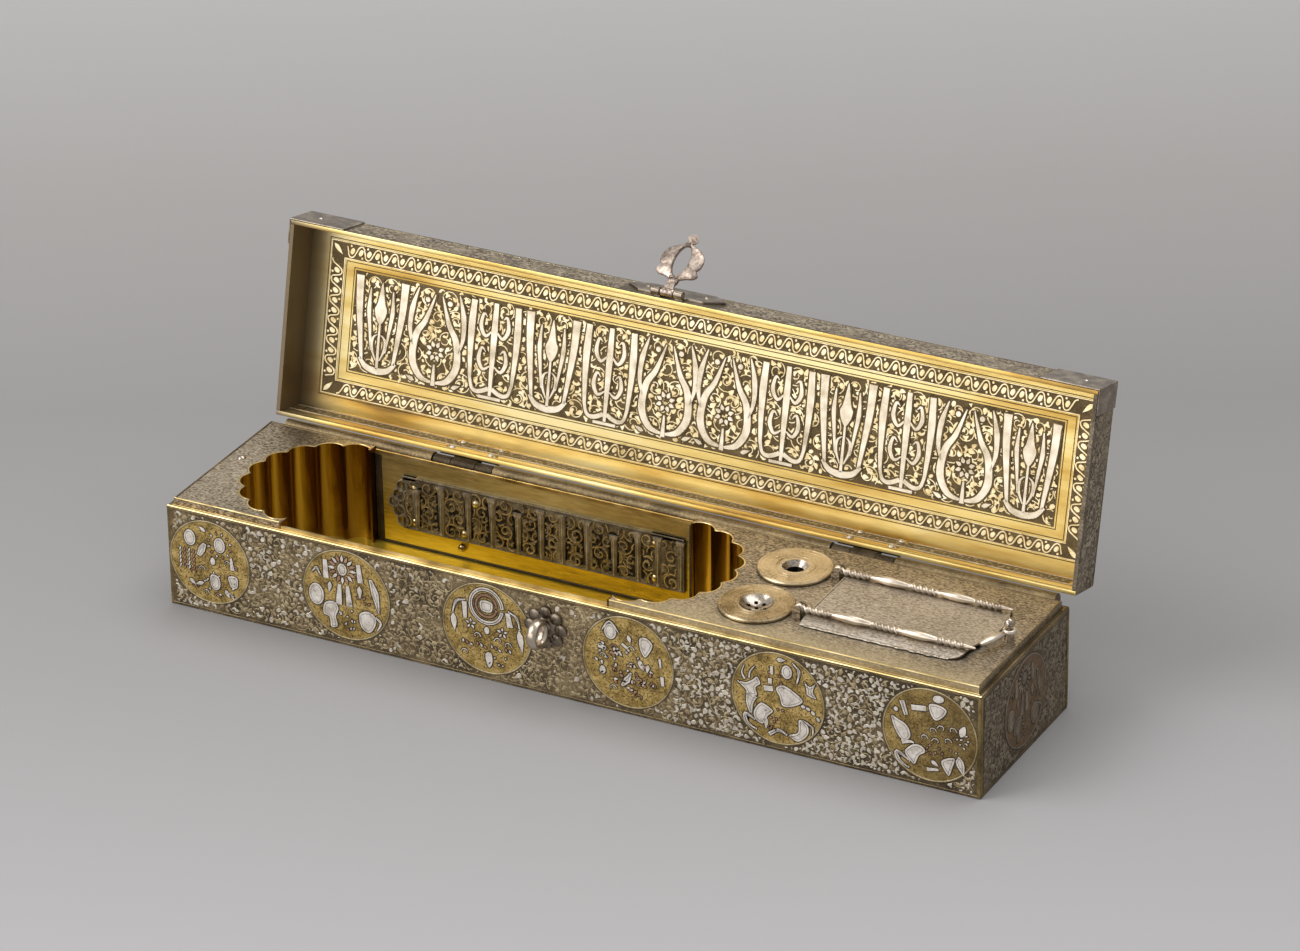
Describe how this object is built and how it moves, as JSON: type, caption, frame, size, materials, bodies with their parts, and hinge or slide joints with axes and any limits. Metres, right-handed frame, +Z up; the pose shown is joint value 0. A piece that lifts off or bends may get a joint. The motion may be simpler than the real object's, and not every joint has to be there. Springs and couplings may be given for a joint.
{
  "type": "pen box",
  "caption": "Long brass pen box with an inlaid hinged lid and hasp, a scalloped pen trough, lift-out ink and sand pots and a hinged silver cover over a well.",
  "frame": {"origin": "middle of the underside of the box", "axes": "+X along the box to the right, +Y to the back where the lid is hinged, +Z up"},
  "size_m": [0.3212, 0.1259, 0.1292],
  "materials": {
    "inlaid_brass": "dark patinated brass with inlaid silver",
    "base_brass": "plain hammered brass",
    "deck_brass": "grey tinned brass, finely stippled",
    "trough_brass": "bright worn brass",
    "fluted_brass": "polished fluted brass",
    "pierced_brass": "dark pierced brass",
    "lid_brass": "bright brass inside, patinated and inlaid outside",
    "silver": "tarnished silver",
    "cover_silver": "worn silver sheet",
    "hinge_brass": "dark brass",
    "rivet_brass": "worn brass",
    "pot_brass": "turned brass",
    "cup_brass": "dark brass"
  },
  "bodies": {
    "box": {"bottom_plate": "base_brass", "front_wall": "inlaid_brass", "back_wall": "inlaid_brass", "left_end_wall": "inlaid_brass", "right_end_wall": "inlaid_brass", "left_deck": "deck_brass", "right_deck": "deck_brass", "deck_stud": "silver", "trough_floor": "trough_brass", "trough_front_liner": "trough_brass", "trough_back_liner": "trough_brass", "left_scallop_liner": "fluted_brass", "right_scallop_liner": "fluted_brass", "frieze_plaque": "pierced_brass", "frieze_rivets": "rivet_brass", "staple_rosette": "silver", "staple_eye": "silver", "wall_hinge_leaves": "hinge_brass", "wall_hinge_rivets": "rivet_brass", "hinge_pins": "hinge_brass", "paste_well": "cup_brass", "cover_lugs": "silver", "cover_pins": "silver", "latch_pin": "silver"},
    "lid": {"lid_panel": "lid_brass", "lid_front_skirt": "inlaid_brass", "lid_back_skirt": "inlaid_brass", "lid_left_end": "inlaid_brass", "lid_right_end": "inlaid_brass", "lid_corner_caps": "silver", "lid_hinge_leaves": "hinge_brass", "lid_hinge_rivets": "rivet_brass", "hasp_plate": "silver", "hasp_plate_rivets": "silver", "hasp_pin": "silver"},
    "hasp": {"hasp": "silver"},
    "ink_pot": {"ink_flange": "pot_brass", "ink_cup": "cup_brass", "ink_mouth_liner": "silver"},
    "sand_pot": {"sand_flange": "pot_brass", "sand_cup": "cup_brass", "sand_strainer": "silver"},
    "well_cover": {"cover_plate": "cover_silver", "cover_front_rod": "silver", "cover_rear_rod": "silver"},
    "latch": {"latch_arm": "silver"}
  },
  "joints": [
    {"name": "lid_hinge", "type": "hinge", "parent": "box", "child": "lid", "pos_m": [0, 0.039, 0.0387], "axis": [-1, 0, 0], "range_deg": [-102.8, 0]},
    {"name": "hasp_hinge", "type": "hinge", "parent": "lid", "child": "hasp", "pos_m": [-0.0065, 0.05821, 0.11514], "axis": [-1, 0, 0], "range_deg": [-134, 36]},
    {"name": "cover_hinge", "type": "hinge", "parent": "box", "child": "well_cover", "pos_m": [0.0815, 0, 0.04535], "axis": [0, -1, 0], "range_deg": [0, 85]},
    {"name": "latch_swivel", "type": "hinge", "parent": "box", "child": "latch", "pos_m": [0.1532, 0.001, 0.0455], "axis": [0, 0, 1], "range_deg": [-45, 20]},
    {"name": "ink_pot_lift", "type": "slide", "parent": "box", "child": "ink_pot", "axis": [0, 0, 1], "range_m": [0, 0.03]},
    {"name": "sand_pot_lift", "type": "slide", "parent": "box", "child": "sand_pot", "axis": [0, 0, 1], "range_m": [0, 0.03]}
  ]
}
